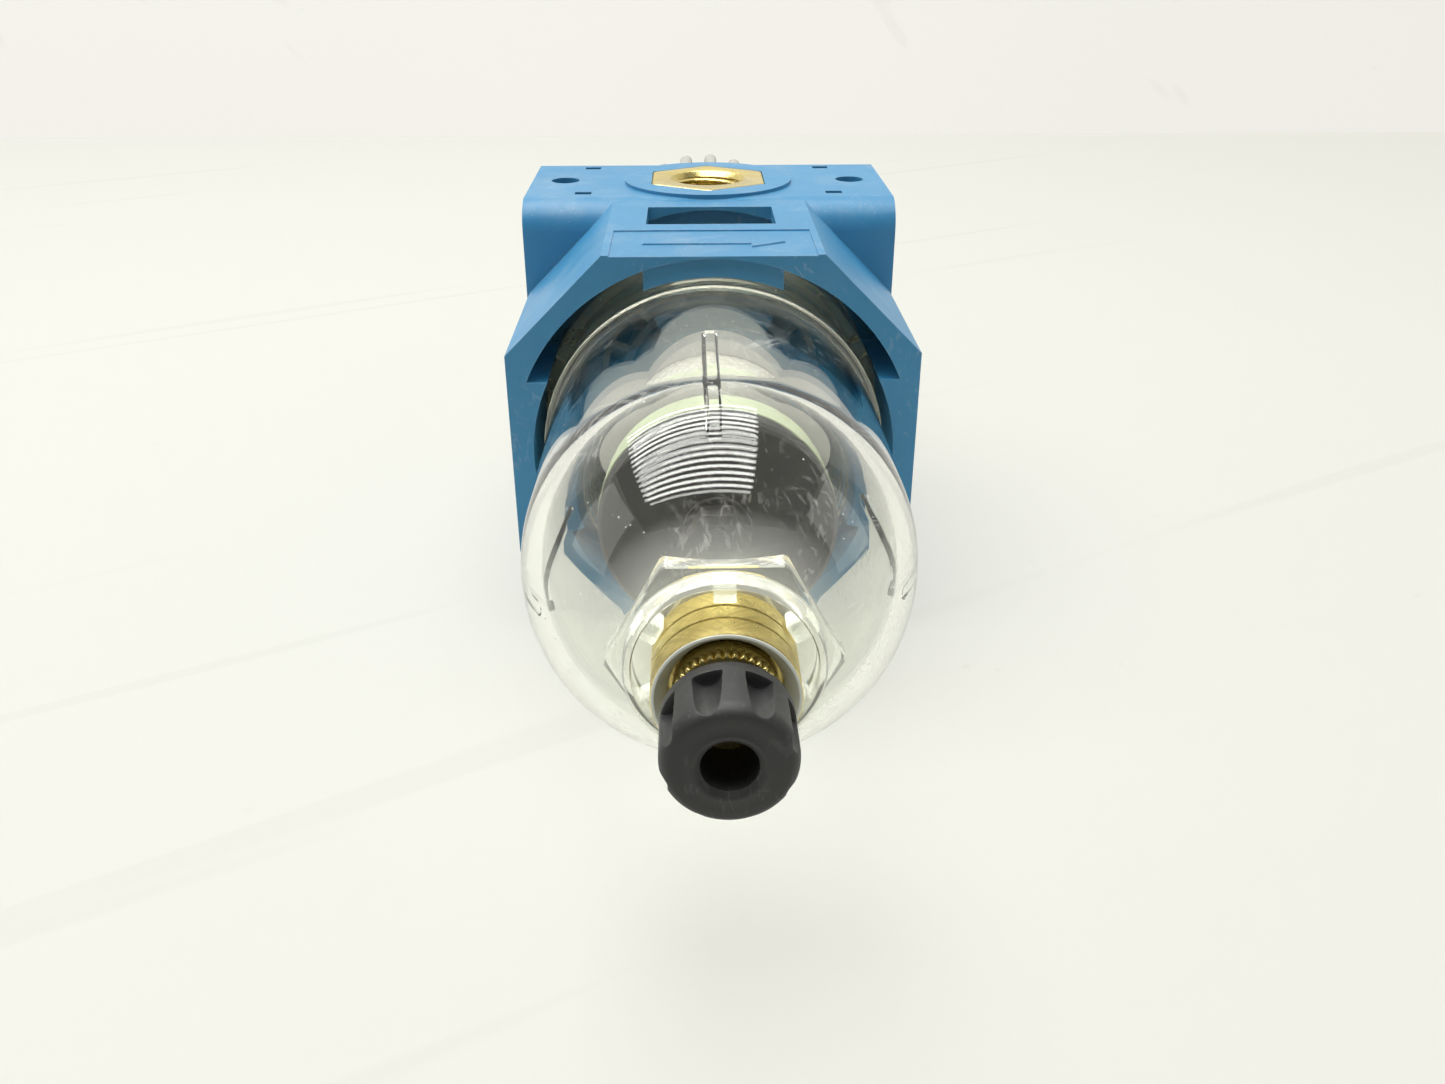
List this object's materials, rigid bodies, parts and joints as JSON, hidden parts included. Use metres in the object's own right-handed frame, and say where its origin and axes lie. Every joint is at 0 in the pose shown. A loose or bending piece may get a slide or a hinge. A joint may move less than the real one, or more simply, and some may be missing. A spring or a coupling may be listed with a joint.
{
  "type": "compressed air filter-regulator",
  "caption": "Compressed air filter-regulator with a clear bayonet bowl, screw drain, threaded ports and a ribbed pressure knob, lying on its outlet port.",
  "frame": {"origin": "centre of the outlet boss face, which the part rests on", "axes": "+Z up along the port axis towards the inlet, +Y along the bowl axis from the drain towards the adjusting knob, +X across the width. In use the bowl hangs down: turn the part 90 degrees about X so that +Y points up."},
  "size_m": [0.066, 0.2151, 0.0669],
  "materials": {
    "blue_plastic": "moulded",
    "brass": "turned",
    "seal_rubber": "matt",
    "clear_plastic": "clear moulded",
    "light_grey_plastic": "moulded",
    "porous_white": "sintered",
    "pale_green_plastic": "moulded",
    "dark_grey_plastic": "moulded",
    "steel": "plated",
    "pale_washer": "satin",
    "black_plastic": "moulded",
    "spring_steel": "drawn wire",
    "aluminium": "die cast",
    "grey_plastic": "moulded"
  },
  "bodies": {
    "frame": {"housing": "blue_plastic", "inlet_insert": "brass", "outlet_insert": "brass", "gauge_plug_left": "brass", "gauge_plug_right": "brass", "gauge_seal_left": "seal_rubber", "gauge_seal_right": "seal_rubber", "bowl_seal": "seal_rubber", "swirl_vane": "light_grey_plastic", "lobed_deflector": "light_grey_plastic", "filter_element": "porous_white", "element_gasket": "seal_rubber", "element_cap": "pale_green_plastic", "baffle_plate": "dark_grey_plastic", "element_stud": "steel", "element_nut": "dark_grey_plastic", "valve_seat": "brass", "poppet_guide": "light_grey_plastic", "poppet_spring": "spring_steel", "diaphragm": "seal_rubber", "main_spring": "spring_steel", "thrust_washer": "pale_washer", "bonnet": "grey_plastic", "bonnet_screws": "steel"},
    "bowl_body": {"bowl": "clear_plastic", "drain_body": "brass", "drain_washer": "pale_washer", "drain_seal": "seal_rubber", "drain_nut": "brass"},
    "drain_slide": {"stem_seal": "seal_rubber"},
    "drain_screw": {"drain_stem": "brass", "knurled_ring": "brass", "drain_knob": "black_plastic"},
    "spindle_body": {"spindle": "steel"},
    "grip": {"adjusting_knob": "grey_plastic", "knob_cap": "blue_plastic"},
    "spring_nut": {"spring_plate": "steel"},
    "valve": {"valve_poppet": "brass", "valve_pin": "steel", "diaphragm_plate": "aluminium"}
  },
  "joints": [
    {"name": "bowl_turn", "type": "hinge", "parent": "frame", "child": "bowl_body", "pos_m": [0, -0.06, 0.03345], "axis": [0, -1, 0], "range_deg": [0, 46]},
    {"name": "drain_travel", "type": "slide", "parent": "bowl_body", "child": "drain_slide", "axis": [0, -1, 0], "range_m": [0, 0.0012]},
    {"name": "drain_turn", "type": "hinge", "parent": "drain_slide", "child": "drain_screw", "pos_m": [0, -0.13, 0.03345], "axis": [0, -1, 0], "range_deg": [0, 540]},
    {"name": "knob_turn", "type": "hinge", "parent": "frame", "child": "spindle_body", "pos_m": [0, 0.06, 0.03345], "axis": [0, -1, 0], "range_deg": [0, 1800]},
    {"name": "knob_lift", "type": "slide", "parent": "spindle_body", "child": "grip", "axis": [0, 1, 0], "range_m": [0, 0.003]},
    {"name": "spring_nut_travel", "type": "slide", "parent": "frame", "child": "spring_nut", "axis": [0, -1, 0], "range_m": [0, 0.0075], "deforming": ["main_spring"]},
    {"name": "valve_stroke", "type": "slide", "parent": "frame", "child": "valve", "axis": [0, -1, 0], "range_m": [0, 0.001], "stiffness_N_per_m": 600, "springref_m": -0.002, "deforming": ["poppet_spring", "diaphragm"]}
  ],
  "couplings": [
    {"joint": "drain_travel", "follows": "drain_turn", "m_per_rad": 0.0001273},
    {"joint": "spring_nut_travel", "follows": "knob_turn", "m_per_rad": 0.0002387}
  ]
}
